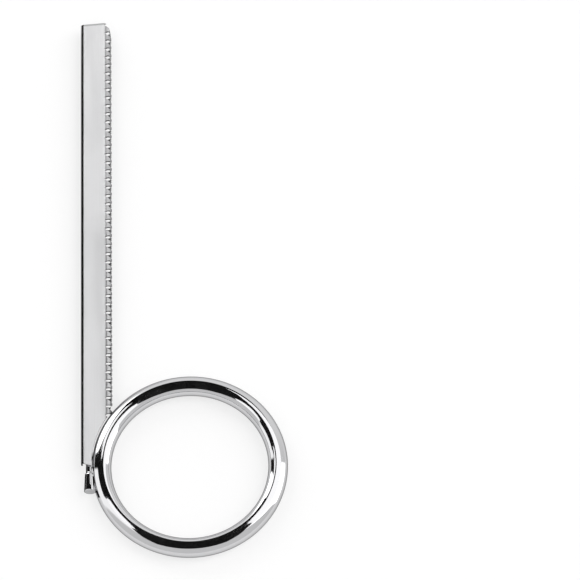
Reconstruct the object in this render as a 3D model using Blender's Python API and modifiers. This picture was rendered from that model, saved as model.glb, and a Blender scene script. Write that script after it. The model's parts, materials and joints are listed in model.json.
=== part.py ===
"""Toothed fabric clip: two sheet-metal jaws on a sprung spine hinge, opened by lifting a ring.

Metres, +Z up. The clip lies on its back: +Y runs from the ring to the tip of the bar, +X from the
spine to the teeth. All pieces are drawn from the hinge axis, level with the middle of the ring:
u is along X, v along Y and w along Z from there.
"""
import math

import bmesh
import bpy

# Ring of round wire
RING_BORE = 0.040              # inside diameter
RING_WIRE = 0.005              # wire diameter
RING_STANDOFF = 0.0004         # from the ring's outer edge to the hinge axis
RING_CLEARANCE = 0.0001        # foot of the front jaw to the ring
BACK_CLEARANCE = 0.0014        # foot of the back jaw to the ring

# Hinge pin
PIN_SHANK = 0.0012             # diameter inside the spine
PIN_NECK = 0.00215             # diameter where it leaves the spine
PIN_HEAD = 0.0029              # diameter of the head beside the ring
PIN_HEAD_LENGTH = 0.0048
PIN_HEAD_END = 0.0065          # from the middle of the ring down to the end of the head
PIN_NECK_TOP = 0.0015          # from the middle of the ring up to the shank
PIN_EDGE = 0.0002              # chamfer on the head and below the neck
TAIL_DIAMETER = 0.0019         # peened tail at the tip
TAIL_HEIGHT = 0.0006
TAIL_INSET = 0.0007            # tail below the tip of the bar

# Jaws, pressed from one sheet
SHEET = 0.0004
RUNNING_CLEARANCE = 0.00005    # knuckle bore to shank
FACE_CLEARANCE = 0.00015       # knuckle to the inside of the front face
SEAT_GAP = 0.0001              # between pieces that are fixed to each other
BAR_TIP = 0.1285               # from the middle of the ring to the tip of the bar
TIP_SLANT = 0.0005             # spine's end of the tip below that
BAR_WIDTH = 0.0080             # outside of the spine to the tooth tips
SPINE_REACH = 0.0023           # hinge axis to the outside of the spine
SPINE_BEND = 0.0005            # radius at the middle of the sheet
SPINE_DROP = 0.0004            # free edge of the spine below the hinge axis
BACK_EDGE = 0.0015             # hinge axis to the long edge of the back jaw, where the knuckles step up
CURL_END = math.radians(30)    # free end of a knuckle's curl
HEEL_RISE = 0.0010             # foot of the front jaw above the middle of the ring, at the spine
PIN_RISE = 0.0003              # and over the pin
TIP_CORNER = (0.0017, 0.0050)  # rounding of the toothed corner at the tip, across and along

# Teeth
TOOTH_PITCH = 0.00242
TOOTH_OVERLAP = 0.0004         # tips past the middle plane
TOOTH_TIP = 0.00056            # width of a tooth at its tip
TOOTH_GAP = 0.00060            # width of a gap at its root
TOOTH_ROOT = 0.0002            # root of the gaps from where the edge starts to roll over
FIRST_GAP = 0.00295            # first gap of the front jaw from the tip

# Knuckles, collars and springs along the spine
KNUCKLES = 4
KNUCKLE_LENGTH = 0.010
COLLAR_LENGTH = 0.003
END_PLAY = 0.0003              # lengthwise gap between pieces on the shank
SPRING_WIRE = 0.00035
SPRING_CLEARANCE = 0.0001      # coil to shank
SPRING_PITCH = 0.0010
SPRING_ROOM = 0.0045           # free shank at each end of a spring

# Facets
RING_STEPS = 72
WIRE_STEPS = 16
TURNED_STEPS = 20
CURL_STEPS = 12
ROLL_STEPS = 6                 # bend of the spine, toothed edge
ROOT_STEPS = 4                 # round root of a tooth gap
COIL_STEPS = 9                 # points in one turn of a spring
CLEARANCE_STEPS = 128

# Worked out from the sizes above
ring_radius = (RING_BORE + RING_WIRE) / 2
ring_outer = ring_radius + RING_WIRE / 2
ring_u = ring_outer + RING_STANDOFF
ring_cut = ring_outer + RING_CLEARANCE
shank_radius = PIN_SHANK / 2
knuckle_radius = shank_radius + RUNNING_CLEARANCE + SHEET / 2
face_inside = knuckle_radius + SHEET / 2 + FACE_CLEARANCE
face_middle = face_inside + SHEET / 2
face_outside = face_inside + SHEET
collar_radius = face_inside - SEAT_GAP
spine_u = SHEET / 2 - SPINE_REACH
tip_u = BAR_WIDTH - SPINE_REACH
edge_radius = face_middle + TOOTH_OVERLAP
roll_u = tip_u - SHEET / 2 - edge_radius
axis_height = max(face_outside, RING_WIRE / 2)
axis_x = (SPINE_REACH - ring_u - ring_outer) / 2
axis_y = (ring_outer - BAR_TIP) / 2
cutter_reach = 2 * axis_height


def beside_ring(u):
    """Height v above which the line at u stays clear of the ring."""
    return math.sqrt(max(ring_cut ** 2 - (ring_u - u) ** 2, 0.0))


heel_collar_start = beside_ring(collar_radius) + END_PLAY
tip_collar_end = BAR_TIP - TAIL_INSET - TAIL_HEIGHT - SEAT_GAP
first_knuckle = heel_collar_start + COLLAR_LENGTH + END_PLAY
last_knuckle_end = tip_collar_end - COLLAR_LENGTH - END_PLAY
bay_length = (last_knuckle_end - first_knuckle - KNUCKLES * KNUCKLE_LENGTH) / (KNUCKLES - 1)
spring_turns = int((bay_length - 2 * SPRING_ROOM) / SPRING_PITCH)


def new_collection(name):
    made = bpy.data.collections.new(name)
    bpy.context.scene.collection.children.link(made)
    return made


def new_material(name, colour, roughness):
    made = bpy.data.materials.new(name)
    made.use_nodes = True
    shader = made.node_tree.nodes["Principled BSDF"]
    shader.inputs["Base Color"].default_value = (*colour, 1.0)
    shader.inputs["Metallic"].default_value = 1.0
    shader.inputs["Roughness"].default_value = roughness
    return made


def place(name, data, collection, material=None):
    """Put a piece in its collection, with its origin on the hinge axis."""
    piece = bpy.data.objects.new(name, data)
    collection.objects.link(piece)
    piece.parent = hinge_axis
    if material:
        data.materials.append(material)
    if collection is cutters:
        piece.hide_render = True
        piece.display_type = "WIRE"
    return piece


def smooth(mesh):
    mesh.shade_smooth()
    mesh.set_sharp_from_angle(angle=math.radians(35))


def arc(centre, radius, start, end, steps):
    turns = [start + (end - start) * i / steps for i in range(steps + 1)]
    return [(centre[0] + radius * math.cos(a), centre[1] + radius * math.sin(a)) for a in turns]


def cut(piece, cutter):
    step = piece.modifiers.new(cutter.name, "BOOLEAN")
    step.operation = "DIFFERENCE"
    step.object = cutter


def sheet_strip(name, section, v_start, v_end, collection, material):
    """A bent sheet: the section's middle line drawn along the bar and thickened."""
    mesh = bpy.data.meshes.new(name)
    shape = bmesh.new()
    near = [shape.verts.new((u, v_start, w)) for u, w in section]
    edges = [shape.edges.new(pair) for pair in zip(near, near[1:])]
    drawn = bmesh.ops.extrude_edge_only(shape, edges=edges)["geom"]
    far = [item for item in drawn if isinstance(item, bmesh.types.BMVert)]
    bmesh.ops.translate(shape, verts=far, vec=(0, v_end - v_start, 0))
    bmesh.ops.recalc_face_normals(shape, faces=shape.faces)
    shape.to_mesh(mesh)
    shape.free()
    smooth(mesh)
    strip = place(name, mesh, collection, material)
    thick = strip.modifiers.new("sheet", "SOLIDIFY")
    thick.thickness = SHEET
    thick.offset = 0
    thick.use_even_offset = True
    return strip


def turned(name, profile, closed, collection, material=None, steps=TURNED_STEPS):
    """A turned piece on the hinge axis: profile of (radius, v), outer side from tip to ring."""
    mesh = bpy.data.meshes.new(name)
    shape = bmesh.new()
    points = [shape.verts.new((radius, 0, v)) for radius, v in profile]
    ends = points[1:] + points[:1] if closed else points[1:]
    for pair in zip(points, ends):
        shape.edges.new(pair)
    shape.to_mesh(mesh)
    shape.free()
    piece = place(name, mesh, collection, material)
    piece.rotation_euler = (-math.pi / 2, 0, 0)
    spin = piece.modifiers.new("turn", "SCREW")
    spin.steps = spin.render_steps = steps
    spin.use_merge_vertices = True
    spin.merge_threshold = 1e-6
    return piece


def prisms(name, outlines, half_depth):
    """A cutter of flat outlines in its own XY plane, drawn to both sides of it."""
    flat = bpy.data.curves.new(name, "CURVE")
    flat.dimensions = "2D"
    flat.fill_mode = "BOTH"
    flat.extrude = half_depth
    for outline in outlines:
        line = flat.splines.new("POLY")
        line.points.add(len(outline) - 1)
        for point, (x, y) in zip(line.points, outline):
            point.co = (x, y, 0, 1)
        line.use_cyclic_u = True
    drawn = place(name + "_outline", flat, cutters)
    bpy.context.view_layer.update()
    evaluated = drawn.evaluated_get(bpy.context.evaluated_depsgraph_get())
    mesh = bpy.data.meshes.new_from_object(evaluated)
    bpy.data.objects.remove(drawn)
    shape = bmesh.new()
    shape.from_mesh(mesh)
    bmesh.ops.remove_doubles(shape, verts=shape.verts, dist=1e-7)
    bmesh.ops.recalc_face_normals(shape, faces=shape.faces)
    shape.to_mesh(mesh)
    shape.free()
    return place(name, mesh, cutters)


def toothed_edge(side):
    """Middle line of the rolled edge: side is 1 on the front jaw, -1 on the back."""
    centre = (roll_u, face_middle - edge_radius)
    roll = arc(centre, edge_radius, math.pi / 2, 0, ROLL_STEPS)
    return [(u, side * w) for u, w in roll]


def tooth_gaps(side):
    """Cutter for the gaps between one jaw's teeth."""
    half = TOOTH_GAP / 2
    centre = roll_u + TOOTH_ROOT + half
    widening = ((TOOTH_PITCH - TOOTH_TIP) / 2 - half) / (tip_u - centre)
    mouth = tip_u + SHEET / 2
    mouth_half = half + widening * (mouth - centre)
    first = BAR_TIP - FIRST_GAP - (0 if side > 0 else TOOTH_PITCH / 2)
    count = int((first - beside_ring(roll_u)) / TOOTH_PITCH) + 2
    outlines = []
    for i in range(-1, count):
        v = first - i * TOOTH_PITCH
        root = arc((centre, v), half, 1.5 * math.pi, 0.5 * math.pi, ROOT_STEPS)
        outlines.append(root + [(mouth, v + mouth_half), (mouth, v - mouth_half)])
    return prisms("tooth_gaps_front" if side > 0 else "tooth_gaps_back", outlines, cutter_reach)


def tip_trim():
    """Cutter for the slanted tip of both jaws and its rounded corner on the toothed side."""
    across, along = TIP_CORNER
    centre_u = tip_u - across
    centre_v = BAR_TIP - along
    quarter = arc((0, 0), 1, 0, math.pi / 2, CURL_STEPS)
    rounding = [(centre_u + across * a, centre_v + along * b) for a, b in quarter]
    past = SHEET
    left = -SPINE_REACH - past
    slope = TIP_SLANT / (centre_u + SPINE_REACH)
    outside = [
        (left, BAR_TIP - slope * (centre_u - left)),
        (left, BAR_TIP + past),
        (tip_u + past, BAR_TIP + past),
        (tip_u + past, centre_v),
    ]
    return prisms("tip_trim", [rounding + outside], cutter_reach)


def heel_trim():
    """Cutter for the slanted foot of the spine."""
    left = -SPINE_REACH
    slope = (HEEL_RISE - PIN_RISE) / left
    past = SHEET
    ends = [left - past, RING_STANDOFF + past]
    line = [(u, PIN_RISE + slope * u) for u in ends]
    below = [(u, -SPINE_REACH) for u in reversed(ends)]
    return prisms("heel_trim", [line + below], cutter_reach)


def knuckle_bays():
    """Cutter that leaves the back jaw's curl standing only at the knuckles."""
    stops = [-SPINE_REACH]
    for i in range(KNUCKLES):
        start = first_knuckle + i * (KNUCKLE_LENGTH + bay_length)
        stops += [start, start + KNUCKLE_LENGTH]
    stops.append(BAR_TIP + SPINE_REACH)
    bays = zip(stops[0::2], stops[1::2])
    left = -SPINE_REACH
    outlines = [[(left, low), (BACK_EDGE, low), (BACK_EDGE, high), (left, high)] for low, high in bays]
    return prisms("knuckle_bays", outlines, cutter_reach)


def front_section():
    bend_centre = (spine_u + SPINE_BEND, face_middle - SPINE_BEND)
    bend = arc(bend_centre, SPINE_BEND, math.pi, math.pi / 2, ROLL_STEPS)
    return [(spine_u, -SPINE_DROP)] + bend + toothed_edge(1)


def back_section():
    curl = arc((0, 0), knuckle_radius, CURL_END, 1.5 * math.pi, CURL_STEPS)
    step = []
    for i in range(1, ROLL_STEPS + 1):
        t = i / ROLL_STEPS
        fall = (face_middle - knuckle_radius) * t * t * (3 - 2 * t)
        step.append((BACK_EDGE * t, -knuckle_radius - fall))
    return curl + step + toothed_edge(-1)


def pin_profile(grow):
    """The pin's radius along the spine, tail first; grow makes the seat that fits round it."""
    shank = shank_radius + grow
    neck = PIN_NECK / 2 + grow
    head = PIN_HEAD / 2 + grow
    end = -PIN_HEAD_END - grow
    shoulder = PIN_HEAD_LENGTH - PIN_HEAD_END + grow
    tail = TAIL_DIAMETER / 2
    tail_base = tip_collar_end + SEAT_GAP
    dome = [(tail * math.cos(a), tail_base + TAIL_HEIGHT * math.sin(a)) for a in (1.2, 0.8, 0.4, 0)]
    return [
        (0, tail_base + TAIL_HEIGHT),
        *dome,
        (shank, tail_base),
        (shank, PIN_NECK_TOP + grow),
        (neck, PIN_NECK_TOP + grow),
        (neck, shoulder + PIN_EDGE),
        (head, shoulder),
        (head, end + PIN_EDGE),
        (head - PIN_EDGE, end),
        (0, end),
    ]


def collar(name, start):
    end = start + COLLAR_LENGTH
    bore = shank_radius + SEAT_GAP
    profile = [(bore, end), (collar_radius, end), (collar_radius, start), (bore, start)]
    return turned(name, profile, True, parts, steel)


def spring_path(start):
    """Points of a torsion spring: a leg under the spine's edge, the coil, a leg on the back jaw's edge."""
    coil = shank_radius + SPRING_CLEARANCE + SPRING_WIRE / 2
    beside = SPRING_WIRE / 2 + SEAT_GAP
    spine_reach = math.hypot(spine_u, SPINE_DROP + beside)
    spine_leg = math.pi + math.atan2(SPINE_DROP + beside, -spine_u)
    edge_reach = math.hypot(BACK_EDGE - beside, face_inside)
    edge_leg = 2 * math.pi - math.atan2(face_inside, BACK_EDGE - beside)
    coil_start = spine_leg + math.acos(coil / spine_reach)
    coil_end = edge_leg - math.acos(coil / edge_reach) + 2 * math.pi * spring_turns
    steps = round((coil_end - coil_start) / (2 * math.pi) * COIL_STEPS)
    path = [(spine_reach, spine_leg, 0)]
    for i in range(steps + 1):
        t = i / steps
        path.append((coil, coil_start + (coil_end - coil_start) * t, t))
    path.append((edge_reach, edge_leg, 1))
    length = SPRING_PITCH * (coil_end - coil_start) / (2 * math.pi)
    return [(r * math.cos(a), start + length * t, r * math.sin(a)) for r, a, t in path], length


def least_gap(points):
    """Least gap between turns of the wire, measured on points at least half a turn apart."""
    apart = COIL_STEPS // 2
    pairs = ((a, b) for i, a in enumerate(points) for b in points[i + apart:])
    return min(math.dist(a, b) for a, b in pairs) - SPRING_WIRE


def closing_spring(number):
    bay_start = first_knuckle + number * KNUCKLE_LENGTH + (number - 1) * bay_length
    points, length = spring_path(0)
    start = bay_start + (bay_length - length) / 2
    name = f"closing_spring_{number}"
    wire = bpy.data.curves.new(name, "CURVE")
    wire.dimensions = "3D"
    wire.bevel_depth = SPRING_WIRE / 2
    wire.bevel_resolution = 1
    wire.use_fill_caps = True
    line = wire.splines.new("POLY")
    line.points.add(len(points) - 1)
    for point, place_on_path in zip(line.points, points):
        point.co = (*place_on_path, 1)
    spring = place(name, wire, parts, spring_steel)
    spring.location = (0, start, 0)
    print(f"{name}: {spring_turns} turns, least gap to itself {1000 * least_gap(points):.2f} mm")
    return spring


def ring():
    bpy.ops.mesh.primitive_torus_add(
        major_segments=RING_STEPS, minor_segments=WIRE_STEPS,
        major_radius=ring_radius, minor_radius=RING_WIRE / 2)
    made = bpy.context.active_object
    mesh = made.data
    bpy.data.objects.remove(made)
    smooth(mesh)
    piece = place("ring", mesh, parts, chrome)
    piece.location = (ring_u, 0, 0)
    cut(piece, turned("pin_seat", pin_profile(SEAT_GAP), False, cutters))
    return piece


def ring_clearance(name, gap):
    """Cutter that rounds the foot of a jaw to follow the ring."""
    radius = ring_outer + gap
    profile = [(0, cutter_reach), (radius, cutter_reach), (radius, -cutter_reach), (0, -cutter_reach)]
    cutter = turned(name, profile, False, cutters, steps=CLEARANCE_STEPS)
    cutter.rotation_euler = (0, 0, 0)
    cutter.location = (ring_u, 0, 0)
    return cutter


for old in list(bpy.data.objects):
    bpy.data.objects.remove(old)

parts = new_collection("fabric_clip")
cutters = new_collection("cutters")
hinge_axis = bpy.data.objects.new("hinge_axis", None)
parts.objects.link(hinge_axis)
hinge_axis.location = (axis_x, axis_y, axis_height)

chrome = new_material("chrome", (0.80, 0.80, 0.81), 0.06)
bright_sheet = new_material("bright_sheet", (0.82, 0.82, 0.83), 0.16)
steel = new_material("steel", (0.56, 0.56, 0.57), 0.30)
spring_steel = new_material("spring_steel", (0.42, 0.42, 0.44), 0.28)

tip_cut = tip_trim()
front_foot = ring_clearance("front_foot", RING_CLEARANCE)
back_foot = ring_clearance("back_foot", BACK_CLEARANCE)

front_jaw = sheet_strip("front_jaw", front_section(), 0, BAR_TIP, parts, bright_sheet)
for cutter in (tooth_gaps(1), front_foot, tip_cut, heel_trim()):
    cut(front_jaw, cutter)

back_jaw = sheet_strip("back_jaw", back_section(), 0, BAR_TIP, parts, bright_sheet)
for cutter in (tooth_gaps(-1), back_foot, tip_cut, knuckle_bays()):
    cut(back_jaw, cutter)

turned("hinge_pin", pin_profile(0), False, parts, chrome)
ring()
collar("heel_collar", heel_collar_start)
collar("tip_collar", tip_collar_end - COLLAR_LENGTH)
for spring_number in range(1, KNUCKLES):
    closing_spring(spring_number)
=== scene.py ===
# %% [markdown]
# # A toothed fabric clip with a ring
# This lesson dresses a chromed clip that grips the edge of a piece of cloth and hangs by its ring.
# The measured model is loaded first and stays fixed. Every piece made here is laid over it in the same
# frame, in metres, so nothing has to be fitted by eye.

# %% Load the measured model
import json
import math

import bmesh
import bpy
from mathutils import Matrix, Vector


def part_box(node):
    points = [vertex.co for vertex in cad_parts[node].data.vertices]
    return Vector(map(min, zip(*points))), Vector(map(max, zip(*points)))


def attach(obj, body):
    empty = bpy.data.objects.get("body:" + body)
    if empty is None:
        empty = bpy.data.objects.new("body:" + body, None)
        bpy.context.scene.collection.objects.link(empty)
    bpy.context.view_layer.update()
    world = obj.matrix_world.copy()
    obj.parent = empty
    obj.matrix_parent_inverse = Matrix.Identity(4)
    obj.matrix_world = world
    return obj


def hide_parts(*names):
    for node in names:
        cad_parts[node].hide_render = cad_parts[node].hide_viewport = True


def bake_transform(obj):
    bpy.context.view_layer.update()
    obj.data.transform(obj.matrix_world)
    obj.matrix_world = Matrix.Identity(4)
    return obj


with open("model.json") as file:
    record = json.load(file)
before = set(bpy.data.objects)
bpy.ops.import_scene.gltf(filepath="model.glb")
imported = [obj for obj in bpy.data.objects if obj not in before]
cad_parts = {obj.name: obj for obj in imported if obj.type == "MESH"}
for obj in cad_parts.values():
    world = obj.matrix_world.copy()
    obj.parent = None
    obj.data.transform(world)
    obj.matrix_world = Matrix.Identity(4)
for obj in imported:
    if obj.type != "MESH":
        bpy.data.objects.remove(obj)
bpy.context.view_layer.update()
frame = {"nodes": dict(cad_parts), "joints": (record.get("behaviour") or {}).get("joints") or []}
print("measured pieces:", sorted(frame["nodes"]))

# %% [markdown]
# ## Where things are
# The hinge pin runs the whole length of the spine, and most pieces lie on it or beside it. Its axis and
# the middle of the ring could be typed in, but they are read from the measured model, so that the dressed
# pieces follow if its sizes change. Points are then written from the hinge axis: u across the bar, v along
# it, w up.

# %% Find the hinge axis and the ring
hinge = Vector(frame["joints"][0]["pos_m"])
ring_low, ring_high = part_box("ring")
wire_radius = (ring_high.z - ring_low.z) / 2
ring_outer = (ring_high.y - ring_low.y) / 2
ring_radius = ring_outer - wire_radius
ring_middle = Vector((ring_high.x - ring_outer, hinge.y, hinge.z))
ring_u = ring_middle.x - hinge.x
print(f"ring of {2000 * wire_radius:.1f} mm wire, {2000 * ring_outer:.1f} mm across")


# %% [markdown]
# ## Building blocks for node finishes
# A finish is a small network of nodes that feeds one shader. Nodes can be laid by hand in the shader editor,
# but written as code the same few blocks serve every metal here, and the floor and the light too. The first
# helpers add a node, do a sum with two values, mix two values and spread a range of values.

# %% Helpers for nodes
def add_node(tree, kind, inputs=None, **settings):
    """Add one node. An input that comes from another node is linked, and any other is set."""
    node = tree.nodes.new(kind)
    for name, value in settings.items():
        setattr(node, name, value)
    for name, value in (inputs or {}).items():
        if isinstance(value, bpy.types.NodeSocket):
            tree.links.new(value, node.inputs[name])
        else:
            node.inputs[name].default_value = value
    return node


def maths(tree, operation, a, b):
    return add_node(tree, "ShaderNodeMath", {0: a, 1: b}, operation=operation).outputs[0]


def mix(tree, share, first, second, kind="RGBA"):
    """Blend from first to second: colours, or numbers where kind is FLOAT."""
    inputs = {"Factor": share, "A": first, "B": second}
    return add_node(tree, "ShaderNodeMix", inputs, data_type=kind).outputs["Result"]


def ramp(tree, value, low, high, start, end, edge="LINEAR"):
    """Turn a value between low and high into one between start and end."""
    spread = {"Value": value, "From Min": low, "From Max": high, "To Min": start, "To Max": end}
    return add_node(tree, "ShaderNodeMapRange", spread, interpolation_type=edge).outputs[0]


print("helpers made: add_node, maths, mix, ramp")


# %% [markdown]
# ## Building blocks for metal
# Metal is told apart by how it was worked: rolled, turned, drawn or buffed. All of these leave lines or
# patches. They could be photographed and wrapped round a piece, but a stretched noise draws them without
# any picture. Its coordinates lie on the piece itself, so the lines move with the piece and never with the
# camera. Shallow marks also tilt the surface, which a bump does without any change to the shape.

# %% Helpers for metal
GRAZING_TINT = (0.2, 0.2, 0.2, 1)


def bare_metal(name, colour):
    """A plain metal, with the tint that it takes on where it is seen edge-on."""
    finish = bpy.data.materials.new(name)
    finish.use_nodes = True
    shader = finish.node_tree.nodes["Principled BSDF"]
    shader.inputs["Base Color"].default_value = (*colour, 1)
    shader.inputs["Metallic"].default_value = 1
    shader.inputs["Specular Tint"].default_value = GRAZING_TINT
    return finish, finish.node_tree, shader


def streaks(tree, place, waves, detail=3.0):
    """Noise with a different scale on each axis, in waves per unit of the coordinates."""
    stretched = add_node(tree, "ShaderNodeMapping", {"Vector": place, "Scale": waves}).outputs[0]
    inputs = {"Vector": stretched, "Scale": 1.0, "Detail": detail}
    return add_node(tree, "ShaderNodeTexNoise", inputs).outputs["Fac"]


def relief(tree, shader, height, depth, strength):
    """Tilt the surface by a pattern, as if it were as deep as depth in metres."""
    bump = add_node(tree, "ShaderNodeBump", {"Strength": strength, "Distance": depth, "Height": height})
    tree.links.new(bump.outputs[0], shader.inputs["Normal"])


print("helpers made: bare_metal, streaks, relief")

# %% [markdown]
# ## Polished chrome
# The ring and the pin are plated and buffed. Chrome is nearly a mirror, so what makes it look real is not
# its colour but small faults: soft patches where the buffing wheel lingered, hairlines that only show in a
# highlight, and a faint waviness from the wire under the plate. Pictures of scratches could be wrapped round
# the wire, but noise needs no unwrapping and stays fine in a close view. Roughness carries the patches and
# the hairlines, and a very shallow bump carries the waviness.

# %% Make the polished chrome
PATCHES = (0.35, 0.7)  # the part of a noise's range that is spread out to make soft patches
RARE_LINES = (0.66, 0.74)  # only the peaks of a noise, which leaves a few thin lines
BUFFING_WAVES = (260, 260, 260)
HAIRLINE_WAVES = (5200, 420, 5200)
RIPPLE_WAVES = (420, 420, 420)
RIPPLE_DEPTH = 0.00004
RIPPLE_STRENGTH = 0.25
BUFFED_ROUGHNESS = (0.03, 0.075)
HAIRLINE_ROUGHNESS = (0.0, 0.10)
chrome, tree, shader = bare_metal("polished_chrome", (0.62, 0.62, 0.63))
place = add_node(tree, "ShaderNodeTexCoord").outputs["Object"]
buffing = ramp(tree, streaks(tree, place, BUFFING_WAVES), *PATCHES, *BUFFED_ROUGHNESS)
hairline = ramp(tree, streaks(tree, place, HAIRLINE_WAVES, 2.0), *RARE_LINES, *HAIRLINE_ROUGHNESS)
tree.links.new(maths(tree, "ADD", buffing, hairline), shader.inputs["Roughness"])
relief(tree, shader, streaks(tree, place, RIPPLE_WAVES, 1.0), RIPPLE_DEPTH, RIPPLE_STRENGTH)
print("finish:", chrome.name)

# %% [markdown]
# ## Satin plated sheet
# The jaws are pressed from thin plated sheet. Rolling leaves fine lines along the strip, and the plate over
# them is bright but soft, so the flat face reads as an even pale grey and not as a mirror. Two stretched
# noises draw it: long fine lines in the roughness and the bump, and broad dull patches from handling. The
# bent spine is burnished until it mirrors, and its colour is painted darker as a painted dark reflection.
# The toothed edge is a little smoother than the face and is painted darker as painted shade, and a thin line
# of painted shade runs along the tip. Each could be a material of its own, but a jaw is one mesh, so one
# material finds these places by their distance across and along the bar.

# %% Start the satin sheet with its flat face
LINES = (0.3, 0.7)  # the part of a noise's range that is spread out to make even lines
ROLLING_WAVES = (6500, 55, 6500)
HANDLING_WAVES = (150, 60, 150)
LINE_ROUGHNESS = (0.46, 0.56)
PATCH_ROUGHNESS = (0.0, 0.08)
FACE_TONE = (0.80, 0.80, 0.81, 1)
PATCH_TONE = (0.85, 0.85, 0.855, 1)
satin_sheet, tree, shader = bare_metal("satin_sheet", (0.82, 0.82, 0.83))
place = add_node(tree, "ShaderNodeTexCoord").outputs["Object"]
rolling_lines = streaks(tree, place, ROLLING_WAVES, 1.0)
handling = streaks(tree, place, HANDLING_WAVES)
line_roughness = ramp(tree, rolling_lines, *LINES, *LINE_ROUGHNESS)
patch_roughness = ramp(tree, handling, *PATCHES, *PATCH_ROUGHNESS)
roughness = maths(tree, "ADD", line_roughness, patch_roughness)
tone = mix(tree, handling, FACE_TONE, PATCH_TONE)
print("face of", satin_sheet.name, "drawn")

# %% Find the bends of the sheet and the line along its tip that takes painted shade
SPINE_FLAT_END = 0.0015
SPINE_BEND = 0.0017
TOOTH_FLAT_END = 0.0039
TOOTH_BEND = 0.0043
TIP_SLANT = 0.0005
TIP_CORNER = 0.0017
# The line along the tip is painted shade: the last 0.4 mm before the tip is darkened, and it fades in over
# 0.2 mm more.
TIP_SHADE_WIDTH = 0.0004
TIP_SHADE_FADE = 0.0006
bar = add_node(tree, "ShaderNodeSeparateXYZ", {"Vector": place}).outputs
spine_bend = ramp(tree, bar["X"], hinge.x - SPINE_FLAT_END, hinge.x - SPINE_BEND, 0.0, 1.0)
tooth_bend = ramp(tree, bar["X"], hinge.x + TOOTH_FLAT_END, hinge.x + TOOTH_BEND, 0.0, 1.0)
jaw_low, jaw_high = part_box("front_jaw")
corner_x = jaw_high.x - TIP_CORNER
tip_slope = TIP_SLANT / (corner_x - jaw_low.x)
tip_line = jaw_high.y - tip_slope * corner_x
to_tip = maths(tree, "SUBTRACT", bar["Y"], maths(tree, "MULTIPLY", bar["X"], tip_slope))
# A mask for the painted shade along the tip.
tip_shade_line = ramp(tree, to_tip, tip_line - TIP_SHADE_FADE, tip_line - TIP_SHADE_WIDTH, 0.0, 1.0)
print(f"the tip slants by {1000 * TIP_SLANT:.1f} mm over {1000 * (corner_x - jaw_low.x):.1f} mm")

# %% Finish the bends, and paint shade and a dark reflection on to them and along the tip
SPINE_ROUGHNESS = 0.07
TOOTH_ROUGHNESS = 0.32
# The burnished spine bend is painted darker, a painted dark reflection of its surroundings; its low
# roughness is real.
SPINE_DARK_REFLECTION_TONE = (0.55, 0.55, 0.555, 1)
# The toothed edge is painted darker as painted shade between the teeth; its lower roughness is real.
TOOTH_SHADE_TONE = (0.37, 0.37, 0.375, 1)
# The line along the tip is painted darker as painted shade.
TIP_SHADE_TONE = (0.53, 0.53, 0.535, 1)
GRAIN_DEPTH = 0.00003
BEND_GRAIN = 0.06
roughness = mix(tree, spine_bend, roughness, SPINE_ROUGHNESS, "FLOAT")
roughness = mix(tree, tooth_bend, roughness, TOOTH_ROUGHNESS, "FLOAT")
tree.links.new(roughness, shader.inputs["Roughness"])
# Painted dark reflection on the spine bend, and painted shade on the toothed edge and along the tip, are
# mixed into the colour here.
tone = mix(tree, spine_bend, tone, SPINE_DARK_REFLECTION_TONE)
tone = mix(tree, tooth_bend, tone, TOOTH_SHADE_TONE)
tone = mix(tree, tip_shade_line, tone, TIP_SHADE_TONE)
tree.links.new(tone, shader.inputs["Base Color"])
bends = maths(tree, "ADD", spine_bend, tooth_bend)
relief(tree, shader, rolling_lines, GRAIN_DEPTH, ramp(tree, bends, 0.0, 1.0, 1.0, BEND_GRAIN))
print("finish:", satin_sheet.name)

# %% [markdown]
# ## Turned steel and drawn wire
# The collars inside the spine are turned on a lathe, so their marks are rings round the pin: a noise that
# changes fast along the axis and hardly at all round it. Spring wire is drawn through a die, which leaves
# lines along the wire. The wire coils, so its lines need their own coordinates, laid along the wire when
# it is made, and not the plain metres that suit straight pieces.

# %% Make the turned steel
TOOL_WAVES = (60, 9000, 60)
TOOL_DEPTH = 0.00001
TOOL_STRENGTH = 0.4
TURNED_ROUGHNESS = (0.22, 0.42)
turned_steel, tree, shader = bare_metal("turned_steel", (0.56, 0.56, 0.57))
place = add_node(tree, "ShaderNodeTexCoord").outputs["Object"]
tool_marks = streaks(tree, place, TOOL_WAVES, 2.0)
tree.links.new(ramp(tree, tool_marks, *LINES, *TURNED_ROUGHNESS), shader.inputs["Roughness"])
relief(tree, shader, tool_marks, TOOL_DEPTH, TOOL_STRENGTH)
print("finish:", turned_steel.name)

# %% Make the drawn spring wire
DIE_WAVES = (120, 40, 1)
DIE_DEPTH = 0.00001
DIE_STRENGTH = 0.3
DRAWN_ROUGHNESS = (0.2, 0.38)
SCALE_WAVES = (900, 3, 1)
WIRE_TONE = (0.36, 0.36, 0.385, 1)
SCALE_TONE = (0.48, 0.475, 0.47, 1)
drawn_wire, tree, shader = bare_metal("drawn_wire", (0.42, 0.42, 0.44))
along_wire = add_node(tree, "ShaderNodeTexCoord").outputs["UV"]
die_lines = streaks(tree, along_wire, DIE_WAVES)
tree.links.new(ramp(tree, die_lines, *LINES, *DRAWN_ROUGHNESS), shader.inputs["Roughness"])
scale_patches = streaks(tree, along_wire, SCALE_WAVES)
tint = mix(tree, scale_patches, WIRE_TONE, SCALE_TONE)
tree.links.new(tint, shader.inputs["Base Color"])
relief(tree, shader, die_lines, DIE_DEPTH, DIE_STRENGTH)
print("finish:", drawn_wire.name)


# %% [markdown]
# ## Fine meshes for the dressed pieces
# The measured solids are faceted to stay light. Where light runs along a curve, the facets would show.
# A subdivision modifier would smooth them but shrink the round sections, so the round pieces are made again
# at the same sizes with many more steps. A piece is a list of corners and a list of faces; one helper turns
# these into a smooth object that rides on a moving body and stands in for the measured solid.

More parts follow.
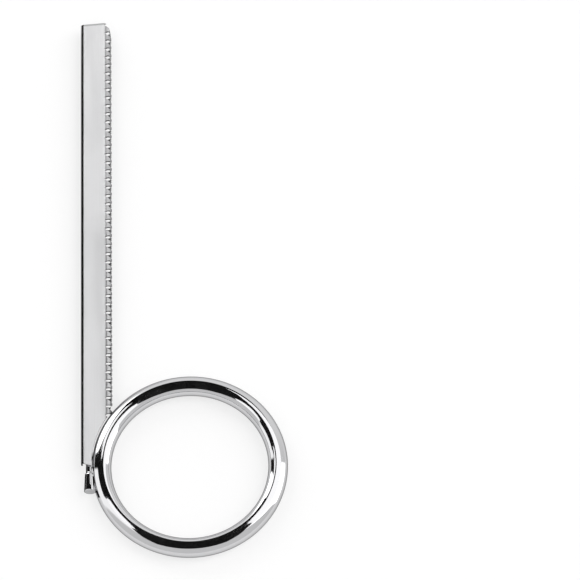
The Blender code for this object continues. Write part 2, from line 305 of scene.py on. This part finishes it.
# %% Helpers for a dressed piece
def dress(name, corners, faces, finish, body, replaced=None):
    """Make a smooth piece from corners written from the hinge axis."""
    mesh = bpy.data.meshes.new(name)
    mesh.from_pydata([hinge + Vector(corner) for corner in corners], [], faces)
    shape = bmesh.new()
    shape.from_mesh(mesh)
    bmesh.ops.recalc_face_normals(shape, faces=shape.faces)
    shape.to_mesh(mesh)
    shape.free()
    mesh.shade_smooth()
    mesh.materials.append(finish)
    piece = bpy.data.objects.new(name, mesh)
    bpy.context.scene.collection.objects.link(piece)
    if body:
        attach(piece, body)
    if replaced:
        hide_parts(replaced)
    print(f"{name}: {len(mesh.polygons)} faces")
    return piece


def loop_faces(rings, steps, closed):
    """Faces between rings of corners that follow one another, back to the first or capped at both ends."""
    pairs = [(i, i + 1) for i in range(rings - 1)]
    if closed:
        pairs.append((rings - 1, 0))
    made = []
    for a, b in pairs:
        for j in range(steps):
            k = (j + 1) % steps
            made.append((a * steps + j, a * steps + k, b * steps + k, b * steps + j))
    if not closed:
        made.append(tuple(range(steps)))
        made.append(tuple(range((rings - 1) * steps, rings * steps)))
    return made


print("helpers made: dress, loop_faces")

# %% [markdown]
# ## The ring
# The ring is a length of round wire bent to a circle and welded shut. A torus from the menu would do, but
# written out it takes two loops, one round the ring and one round the wire, and rides on its body like
# every other piece. The many steps keep the dark and white bands of its reflections clean. It is left whole
# where the pin is brazed on, because the braze hides that place.

# %% Make the ring
ROUND_RING = 288
ROUND_WIRE = 64
corners = []
for i in range(ROUND_RING):
    turn = 2 * math.pi * i / ROUND_RING
    for j in range(ROUND_WIRE):
        around = 2 * math.pi * j / ROUND_WIRE
        reach = ring_radius + wire_radius * math.cos(around)
        u = ring_u - reach * math.cos(turn)
        corners.append((u, reach * math.sin(turn), wire_radius * math.sin(around)))
faces = loop_faces(ROUND_RING, ROUND_WIRE, True)
dress("welded_ring", corners, faces, chrome, "front", "ring")

# %% [markdown]
# ## The hinge pin
# The pin is turned: a thin shank through the whole spine, a neck where it comes out, and a fat head beside
# the ring that widens slightly towards its end. Its far end is peened into a small dome so that it can't
# slide out. It could be stacked from cylinders, but a turned piece is really one outline spun about the
# axis, and so it is made that way. Turned edges are never quite sharp, so each corner of the outline is
# rounded before it is spun, which gives the thin bright line along the rim.

# %% Read the pin's sizes and draw its outline
pin_low, pin_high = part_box("hinge_pin")
HEAD = (pin_high.z - pin_low.z) / 2
HEAD_FLARE = 0.0001
NECK = 0.001075
SHANK = 0.0006
SHOULDER_V = -0.0017
SHOULDER_STEP = 0.0002
NECK_TOP_V = 0.0015
TAIL = 0.00095
TAIL_HEIGHT = 0.0006
DOME_TOP = TAIL * 0.62
DOME_FALL = 0.0001
head_end = pin_low.y - hinge.y
tail_end = pin_high.y - hinge.y
tail_start = tail_end - TAIL_HEIGHT
# Each corner is a radius, a place along the pin and how much it is rounded.
outline = [
    (0, head_end, 0),
    (HEAD + HEAD_FLARE, head_end, 0.0002),
    (HEAD - HEAD_FLARE, SHOULDER_V, 0.0003),
    (NECK, SHOULDER_V + SHOULDER_STEP, 0.0003),
    (NECK, NECK_TOP_V, 0.0002),
    (SHANK, NECK_TOP_V, 0.0001),
    (SHANK, tail_start, 0.0001),
    (TAIL, tail_start, 0.00008),
    (DOME_TOP, tail_end - DOME_FALL, 0.0006),
    (0, tail_end, 0)]
print(f"pin outline of {len(outline)} corners, with a head {2000 * HEAD:.1f} mm across")

# %% Round the corners of the outline
CURVE_STEPS = 6
LONGEST_SHARE = 0.45  # a rounding takes up no more than this share of the line beside it


def rounded(points):
    """Replace each corner between the ends of an outline by a short curve of about its radius."""
    made = []
    for before, here, after in zip(points, points[1:], points[2:]):
        middle = Vector(here[:2])
        into = Vector(before[:2]) - middle
        out = Vector(after[:2]) - middle
        start = middle + into.normalized() * min(here[2], into.length * LONGEST_SHARE)
        end = middle + out.normalized() * min(here[2], out.length * LONGEST_SHARE)
        for i in range(CURVE_STEPS + 1):
            t = i / CURVE_STEPS
            made.append(start * (1 - t) ** 2 + middle * 2 * t * (1 - t) + end * t ** 2)
    return made


profile = rounded(outline)
print(f"rounded outline of {len(profile)} points")

# %% Spin the outline into the pin
ROUND_PIN = 64
LARGE_FACES_LEAD = 100


def keep_flats_flat(piece):
    """Weigh the shading by face size, so that a narrow rounded edge doesn't tint the face beside it."""
    piece.modifiers.new("flat_shading", "WEIGHTED_NORMAL").weight = LARGE_FACES_LEAD


corners = []
for radius, v in profile:
    for j in range(ROUND_PIN):
        turn = 2 * math.pi * j / ROUND_PIN
        corners.append((radius * math.cos(turn), v, radius * math.sin(turn)))
faces = loop_faces(len(profile), ROUND_PIN, False)
pin = dress("headed_pin", corners, faces, chrome, "front", "hinge_pin")
keep_flats_flat(pin)

# %% [markdown]
# ## The braze between pin and ring
# The head of the pin is brazed to the side of the ring, and the melted filler draws into the notch between
# the two and sets as a smooth hollow curve. Melting pin and ring into one mesh would give such a curve too,
# but would spoil their clean bands. In a slice across the bar both are circles, so the filler's surface is a
# third circle that touches both from outside. It is worked out slice by slice, above and below, and
# tapers to nearly nothing at its ends.

# %% Work out one slice of braze
BRAZE_RADIUS = 0.0005
BRAZE_START = -0.0028
BRAZE_END = 0.0024
BRAZE_ARC = 8
LEAST_FILL = 0.05
SHOULDER_LENGTH = 0.0006
SINK = 0.00002  # the filler's edges lie this far inside the metal, so that no gap shows
ROOT_DEPTH = 0.0004
LEAST_ROOT = 0.0001
ROOT_SHARE = 0.8


def braze_slice(v, side):
    """One slice across the bar: an arc from the pin to the wire, and a root hidden between them."""
    t = (v - BRAZE_START) / (BRAZE_END - BRAZE_START)
    fill = BRAZE_RADIUS * max(math.sin(math.pi * t) ** 0.5, LEAST_FILL)
    ease = min(max((v - SHOULDER_V) / SHOULDER_LENGTH, 0), 1)
    pin_radius = HEAD + (NECK - HEAD) * ease * ease * (3 - 2 * ease) - SINK
    wire_u = ring_u - math.sqrt(ring_radius ** 2 - v ** 2)
    a = pin_radius + fill
    b = wire_radius - SINK + fill
    u = (wire_u ** 2 + a ** 2 - b ** 2) / (2 * wire_u)
    w = math.sqrt(max(a ** 2 - u ** 2, 0))
    from_pin = math.atan2(-w, -u)
    from_wire = math.atan2(-w, wire_u - u)
    points = []
    for i in range(BRAZE_ARC + 1):
        angle = from_pin + (from_wire - from_pin) * i / BRAZE_ARC
        points.append((u + fill * math.cos(angle), v, side * (w + fill * math.sin(angle))))
    root_w = max(w - fill - ROOT_DEPTH, LEAST_ROOT)
    return points + [(u * ROOT_SHARE, v, side * root_w)]


print(f"braze slice of {len(braze_slice(0.0, 1))} points")

# %% Make the braze above and below
BRAZE_SLICES = 40
for side, name in ((1, "braze_front"), (-1, "braze_back")):
    corners = []
    for i in range(BRAZE_SLICES + 1):
        corners += braze_slice(BRAZE_START + (BRAZE_END - BRAZE_START) * i / BRAZE_SLICES, side)
    faces = loop_faces(BRAZE_SLICES + 1, BRAZE_ARC + 2, False)
    dress(name, corners, faces, chrome, "front")

# %% [markdown]
# ## The jaws
# Each jaw is one strip of sheet: stamped with its teeth, then bent along its edges. It could be drawn again,
# but the measured solids already have the true outline and thickness, so they stay. What a real stamping
# adds is a hair of rounding on every cut edge, which catches the light. Loose triangles are first welded,
# flat areas are joined into single faces so that the rounding runs clean, and the shading is then weighted
# by face size so that the flats stay flat.

# %% Round the edges of the jaws
WELD_DISTANCE = 1e-6
FLAT_ANGLE = math.radians(2)
STAMPED_EDGE = 0.00005
STAMPED_STEPS = 2
STAMPED_ANGLE = math.radians(40)


def soften(name, finish, rounding, steps, sharp_angle, join_flats):
    """Weld a measured solid that stays, round its sharp edges and give it its finish."""
    solid = frame["nodes"][name]
    solid.data.attributes.remove(solid.data.attributes["custom_normal"])
    solid.data.shade_smooth()
    solid.modifiers.new("weld", "WELD").merge_threshold = WELD_DISTANCE
    if join_flats:
        flats = solid.modifiers.new("join_flats", "DECIMATE")
        flats.decimate_type = "DISSOLVE"
        flats.angle_limit = FLAT_ANGLE
    edges = solid.modifiers.new("rounded_edge", "BEVEL")
    edges.width = rounding
    edges.segments = steps
    edges.limit_method = "ANGLE"
    edges.angle_limit = sharp_angle
    keep_flats_flat(solid)
    solid.data.materials.clear()
    solid.data.materials.append(finish)
    print(f"{name}: edges rounded by {1000 * rounding:.2f} mm")


for name in ("front_jaw", "back_jaw"):
    soften(name, satin_sheet, STAMPED_EDGE, STAMPED_STEPS, STAMPED_ANGLE, True)

# %% [markdown]
# ## The collars
# Two short collars hold the front jaw's spine on the pin, one at each end. They hide inside the spine and
# show only when the clip is open, so finer copies would be wasted. The measured solids are kept and given
# the turned finish, with a small rounding at their rims.

# %% Finish the collars
COLLAR_RIM = 0.00008
COLLAR_STEPS = 3
COLLAR_ANGLE = math.radians(50)
for name in ("heel_collar", "tip_collar"):
    soften(name, turned_steel, COLLAR_RIM, COLLAR_STEPS, COLLAR_ANGLE, False)

# %% [markdown]
# ## The closing springs
# Three torsion springs sit on the pin between the knuckles. One leg of each lies under the edge of the
# front jaw's spine and the other on the edge of the back jaw, so opening the clip winds them. A curve with a
# round bevel would give such a wire, but a mesh can carry coordinates along the wire for its drawn
# finish. The path is the measured one with many more points: a straight leg, the coil, and a straight leg. A
# round tube is then drawn along it.

# %% Draw the path of one spring
COIL = 0.000875
SPRING_PITCH = 0.0010
TURNS = 15
SPINE_LEG_END = (-0.0021, -0.000675)
EDGE_LEG_END = (0.001225, -0.0012)
COIL_POINTS = 40
LEG_POINTS = 8


def spring_path():
    """Middle line of the wire from its spine leg to its edge leg, and the length along the pin."""
    spine_reach = math.hypot(*SPINE_LEG_END)
    edge_reach = math.hypot(*EDGE_LEG_END)
    spine_turn = math.atan2(SPINE_LEG_END[1], SPINE_LEG_END[0]) + 2 * math.pi
    edge_turn = math.atan2(EDGE_LEG_END[1], EDGE_LEG_END[0]) + 2 * math.pi
    start = spine_turn + math.acos(COIL / spine_reach)
    end = edge_turn - math.acos(COIL / edge_reach) + 2 * math.pi * TURNS
    length = SPRING_PITCH * (end - start) / (2 * math.pi)
    steps = round((end - start) / (2 * math.pi) * COIL_POINTS)
    coil = []
    for i in range(steps + 1):
        turn = start + (end - start) * i / steps
        coil.append(Vector((COIL * math.cos(turn), length * i / steps, COIL * math.sin(turn))))
    spine_end = Vector((SPINE_LEG_END[0], 0, SPINE_LEG_END[1]))
    edge_end = Vector((EDGE_LEG_END[0], length, EDGE_LEG_END[1]))
    spine_leg = [spine_end.lerp(coil[0], i / LEG_POINTS) for i in range(LEG_POINTS)]
    edge_leg = [coil[-1].lerp(edge_end, i / LEG_POINTS) for i in range(1, LEG_POINTS + 1)]
    return spine_leg + coil + edge_leg, length


path, coil_length = spring_path()
print(f"spring path of {len(path)} points, {1000 * coil_length:.1f} mm along the pin")

# %% Work out a wire along a path
ROUNDED_END = ((0.35, 0.85), (0.6, 0.45))  # how far past the end, and how thick, as shares of the radius


def drawn_tube(points, radius, sides):
    """Corners and faces of a round wire along a path, with rounded-off ends."""
    corners = []
    normal = Vector((0, 0, 1))
    last = len(points) - 1
    stations = [(0, -past, share) for past, share in reversed(ROUNDED_END)]
    stations += [(i, 0, 1) for i in range(last + 1)]
    stations += [(last, past, share) for past, share in ROUNDED_END]
    for i, past, share in stations:
        ahead = (points[min(i + 1, last)] - points[max(i - 1, 0)]).normalized()
        normal = (normal - ahead * normal.dot(ahead)).normalized()
        side = ahead.cross(normal)
        middle = points[i] + ahead * radius * past
        for j in range(sides):
            turn = 2 * math.pi * j / sides
            corners.append(middle + (normal * math.cos(turn) + side * math.sin(turn)) * radius * share)
    return corners, loop_faces(len(stations), sides, False)


def lay_coordinates(piece, sides, length):
    """Coordinates for the finish: metres along the wire, and once round it."""
    layer = piece.data.uv_layers.new(name="along_wire")
    rings = len(piece.data.vertices) // sides
    for loop in piece.data.loops:
        row, column = divmod(loop.vertex_index, sides)
        layer.data[loop.index].uv = (length * row / rings, column / sides)


wire_length = sum((b - a).length for a, b in zip(path, path[1:]))
print(f"each spring takes {1000 * wire_length:.0f} mm of wire")

# %% Make the three springs
SPRING_WIRE = 0.000175
ROUND_SPRING = 12
for number in (1, 2, 3):
    name = f"closing_spring_{number}"
    low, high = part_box(name)
    start_v = (low.y + high.y) / 2 - hinge.y - coil_length / 2
    laid = [point + Vector((0, start_v, 0)) for point in path]
    corners, faces = drawn_tube(laid, SPRING_WIRE, ROUND_SPRING)
    spring = dress(f"wound_spring_{number}", corners, faces, drawn_wire, None, name)
    lay_coordinates(spring, ROUND_SPRING, wire_length)
    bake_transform(spring)

# %% [markdown]
# ## Floor
# The clip lies on a plain pale table, which is only scenery. A wide sheet of nearly
# white paint takes the soft shadow under the wire, and gives the metal something pale to mirror from below.
# More light would make the floor whiter, but would bleach the clip. So the paint is mixed with plain white
# only for rays that see the floor from the camera, in a mirror or through glass. For all other light it
# stays ordinary paint.

# %% Mix the white paint
WHITE_SHARE = 0.65
white_paint = bpy.data.materials.new("white_paint")
white_paint.use_nodes = True
tree = white_paint.node_tree
paint = tree.nodes["Principled BSDF"]
paint.inputs["Base Color"].default_value = (0.95, 0.95, 0.95, 1)
paint.inputs["Roughness"].default_value = 0.9
paint.inputs["Specular IOR Level"].default_value = 0.0
seen = add_node(tree, "ShaderNodeLightPath").outputs
direct = maths(tree, "MAXIMUM", seen["Is Camera Ray"], seen["Is Glossy Ray"])
direct = maths(tree, "MAXIMUM", direct, seen["Is Transmission Ray"])
share = maths(tree, "MULTIPLY", direct, WHITE_SHARE)
plain_white = add_node(tree, "ShaderNodeEmission", {"Color": (1, 1, 1, 1), "Strength": 1.0})
blend = add_node(tree, "ShaderNodeMixShader", {0: share, 1: paint.outputs[0], 2: plain_white.outputs[0]})
tree.links.new(blend.outputs[0], tree.nodes["Material Output"].inputs["Surface"])
print("finish:", white_paint.name)

# %% Lay the floor
FLOOR_HALF = 1.5
FLOOR_GAP = 0.00002
corners = [(FLOOR_HALF * i, FLOOR_HALF * j, 0) for i, j in ((-1, -1), (1, -1), (1, 1), (-1, 1))]
floor_mesh = bpy.data.meshes.new("floor")
floor_mesh.from_pydata(corners, [], [(0, 1, 2, 3)])
floor_mesh.materials.append(white_paint)
floor = bpy.data.objects.new("floor", floor_mesh)
floor.location.z = -FLOOR_GAP
bpy.context.scene.collection.objects.link(floor)
print("floor laid at the underside of the ring")

# %% [markdown]
# ## Studio light
# Chrome shows its surroundings, so the studio is drawn as soft panels on the world: an even pale room that
# grows brighter at the far side, a bright panel on the right, one on the left that is dimmer low down, a
# dark opening overhead, and a dark bar across the left panel. The opening keeps the flat face from glaring,
# and the bar gives the spine its black line. Lamps could light the clip too, but panels on the world have
# soft edges and light it from every side.

# %% Start the world and find the direction of each ray
world = bpy.data.worlds.new("studio")
bpy.context.scene.world = world
world.use_nodes = True
sky = world.node_tree
direction = add_node(sky, "ShaderNodeTexCoord").outputs["Generated"]
toward = add_node(sky, "ShaderNodeSeparateXYZ", {"Vector": direction}).outputs
print("world:", world.name)

# %% Helpers for soft panels
OVAL_SOFTNESS = 0.25


def times(a, b):
    return maths(sky, "MULTIPLY", a, b)


def soft_edge(value, low, high, start, end):
    return ramp(sky, value, low, high, start, end, "SMOOTHSTEP")


def band(low, high, softness):
    """1 where a direction's y lies between low and high, 0 outside."""
    rise = soft_edge(toward["Y"], low - softness, low + softness, 0.0, 1.0)
    fall = soft_edge(toward["Y"], high - softness, high + softness, 1.0, 0.0)
    return times(rise, fall)


def dark_oval(middle_y, half_x, half_y):
    """0 inside an oval of directions, 1 outside."""
    across = maths(sky, "POWER", times(toward["X"], 1 / half_x), 2)
    from_middle = maths(sky, "SUBTRACT", toward["Y"], middle_y)
    along = maths(sky, "POWER", times(from_middle, 1 / half_y), 2)
    outward = maths(sky, "ADD", across, along)
    return soft_edge(outward, 1 - OVAL_SOFTNESS, 1 + OVAL_SOFTNESS, 0.0, 1.0)


print("helpers made: times, soft_edge, band, dark_oval")

# %% Draw the bright panels
SOFT = 0.06
CRISP = 0.02
PANEL_FOOT = -0.12
ROOM_FADE = (0.3, 0.85)
ROOM_LIGHT = (0.78, 1.0)
RIGHT_TOP = 0.385
RIGHT_EDGE = (0.22, 0.34)
RIGHT_LIGHT = 2.2
LEFT_MIDDLE = 0.50
LEFT_TOP = 0.80
LEFT_EDGE = (-0.34, -0.22)
LEFT_LOW_LIGHT = 0.6
LEFT_HIGH_LIGHT = 2.3
room = soft_edge(toward["Y"], *ROOM_FADE, *ROOM_LIGHT)
right_side = soft_edge(toward["X"], *RIGHT_EDGE, 0.0, RIGHT_LIGHT)
right_panel = times(band(PANEL_FOOT, RIGHT_TOP, CRISP), right_side)
left_low = times(band(PANEL_FOOT, LEFT_MIDDLE, SOFT), LEFT_LOW_LIGHT)
left_high = times(band(LEFT_MIDDLE, LEFT_TOP, SOFT), LEFT_HIGH_LIGHT)
left_side = soft_edge(toward["X"], *LEFT_EDGE, 1.0, 0.0)
left_panel = times(maths(sky, "ADD", left_low, left_high), left_side)
panels = maths(sky, "ADD", maths(sky, "ADD", room, right_panel), left_panel)
print("bright panels drawn: room, right, left")

# %% Draw the dark opening and the dark bar
OPENING_OVALS = ((0.42, 0.27, 0.22), (0.12, 0.22, 0.4), (0.58, 0.28, 0.16))
BAR_FOOT = 0.368
BAR_TOP = 0.52
BAR_EDGE = (-0.28, -0.18)
DARK_LIGHT = 0.01
left_bar = times(band(BAR_FOOT, BAR_TOP, CRISP), soft_edge(toward["X"], *BAR_EDGE, 1.0, 0.0))
let_through = maths(sky, "SUBTRACT", 1.0, left_bar)
for middle_y, half_x, half_y in OPENING_OVALS:
    let_through = times(let_through, dark_oval(middle_y, half_x, half_y))
studio_light = maths(sky, "ADD", times(panels, let_through), DARK_LIGHT)
background = sky.nodes["Background"]
background.inputs["Color"].default_value = (1, 1, 1, 1)
sky.links.new(studio_light, background.inputs["Strength"])
print(f"opening drawn from {len(OPENING_OVALS)} ovals, and the bar across the left panel")

# %% [markdown]
# ## Cards round the clip
# A far-off panel lies in the same direction from every point of the ring, so it draws one unbroken band
# round it. On the real ring the bands break, because what it mirrors stands close by. More panels could not
# break them, so cards are hung near the clip, as a studio does: a lit cloth over the ring, a dark card with
# a waist under the cloth, a dark arm over the pin, and a dark strip laid beside the spine for a clean black
# edge. The cards are scenery, hidden from the camera. They show only in reflections, and throw no shadow or
# light on the floor.

# %% Make the felt and the lit cloth
CLOTH_LIGHT = 1.55
black_felt = bpy.data.materials.new("black_felt")
black_felt.use_nodes = True
felt = black_felt.node_tree.nodes["Principled BSDF"]
felt.inputs["Base Color"].default_value = (0.01, 0.01, 0.01, 1)
felt.inputs["Roughness"].default_value = 1.0
felt.inputs["Specular IOR Level"].default_value = 0.0
lit_cloth = bpy.data.materials.new("lit_cloth")
lit_cloth.use_nodes = True
tree = lit_cloth.node_tree
cloth_glow = add_node(tree, "ShaderNodeEmission", {"Color": (1, 1, 1, 1), "Strength": CLOTH_LIGHT})
tree.links.new(cloth_glow.outputs[0], tree.nodes["Material Output"].inputs["Surface"])
print("card finishes:", black_felt.name, lit_cloth.name)

# %% Hang the dark card with a waist
CARD_HEIGHT = 0.065


def hang_card(name, outline, height, finish):
    """A flat card that only reflections show; its outline is written from the middle of the ring."""
    mesh = bpy.data.meshes.new(name)
    corners = [(ring_middle.x + u, ring_middle.y + v, height) for u, v in outline]
    mesh.from_pydata(corners, [], [range(len(corners))])
    mesh.materials.append(finish)
    hung = bpy.data.objects.new(name, mesh)
    bpy.context.scene.collection.objects.link(hung)
    hung.visible_camera = False
    hung.visible_diffuse = False
    hung.visible_shadow = False
    print(f"{name}: {len(corners)} corners, {1000 * height:.1f} mm up")


lobe = [(0.038, -0.062), (0.042, -0.040), (0.036, -0.015)]
right_edge = [(0.017, 0.004), (0.003, 0.026), (0.011, 0.045), (0.012, 0.085)]
left_edge = [(-0.045, 0.085), (-0.045, 0.072), (-0.012, 0.038), (-0.012, 0.020), (-0.025, -0.006)]
waisted = lobe + right_edge + left_edge + [(-u, v) for u, v in reversed(lobe)]
hang_card("dark_card", waisted, CARD_HEIGHT, black_felt)

# %% Hang the arm, the cloth and the strip
CLOTH_HEIGHT = 0.0652
CLOTH_MIDDLE = (0.010, 0.013)
CLOTH_HALF = (0.066, 0.043)
CLOTH_POINTS = 48
STRIP_HEIGHT = 0.0001
STRIP_SIDES = (-0.0765, -0.0272)
STRIP_ENDS = (-0.008, 0.132)
arm = [
    (-0.080, 0.003), (-0.060, 0.003), (-0.025, 0.014), (-0.010, 0.015),
    (-0.010, 0.028), (-0.028, 0.028), (-0.032, 0.036), (-0.080, 0.036)]
hang_card("pin_card", arm, CARD_HEIGHT, black_felt)
oval = []
for i in range(CLOTH_POINTS):
    turn = math.tau * i / CLOTH_POINTS
    u = CLOTH_MIDDLE[0] + CLOTH_HALF[0] * math.cos(turn)
    oval.append((u, CLOTH_MIDDLE[1] + CLOTH_HALF[1] * math.sin(turn)))
hang_card("cloth_card", oval, CLOTH_HEIGHT, lit_cloth)
far_side, near_side = STRIP_SIDES
foot, top = STRIP_ENDS
beside_spine = [(far_side, foot), (near_side, foot), (near_side, top), (far_side, top)]
hang_card("side_strip", beside_spine, STRIP_HEIGHT, black_felt)

# %% [markdown]
# ## Camera
# The photograph looks down on the clip from the ring's end, steeply, from far off: its ring is a slightly
# flattened circle and the teeth hardly shrink towards the tip. The camera could be moved by hand until the
# picture fits, but it is worked out: the angle comes from the ring's flattening, and the long lens from how
# little the teeth shrink. The camera is turned a degree about its own line of sight.

# %% Place the camera
ELEVATION = math.radians(64.17)
ROLL = math.radians(-1.149)
DISTANCE = 1.3
LOOKS_AT = Vector((0.02776, -0.00237, 0.0025))
LENS_MM = 311.44
SENSOR_MM = 36
lens = bpy.data.cameras.new("photo_camera")
lens.lens = LENS_MM
lens.sensor_width = SENSOR_MM
lens.clip_start = 0.01
camera = bpy.data.objects.new("photo_camera", lens)
bpy.context.scene.collection.objects.link(camera)
back_off = Vector((0, -math.cos(ELEVATION), math.sin(ELEVATION))) * DISTANCE
tilt = Matrix.Rotation(math.pi / 2 - ELEVATION, 4, "X") @ Matrix.Rotation(ROLL, 4, "Z")
camera.matrix_world = Matrix.Translation(LOOKS_AT + back_off) @ tilt
bpy.context.scene.camera = camera
bpy.context.scene.view_settings.view_transform = "Standard"
print("camera", [round(value, 4) for value in camera.location])

# %% [markdown]
# ## Bring the scene up to date
# Last, the scene is brought up to date, so that every piece stands where it was placed.

# %% Bring the scene up to date
bpy.context.view_layer.update()
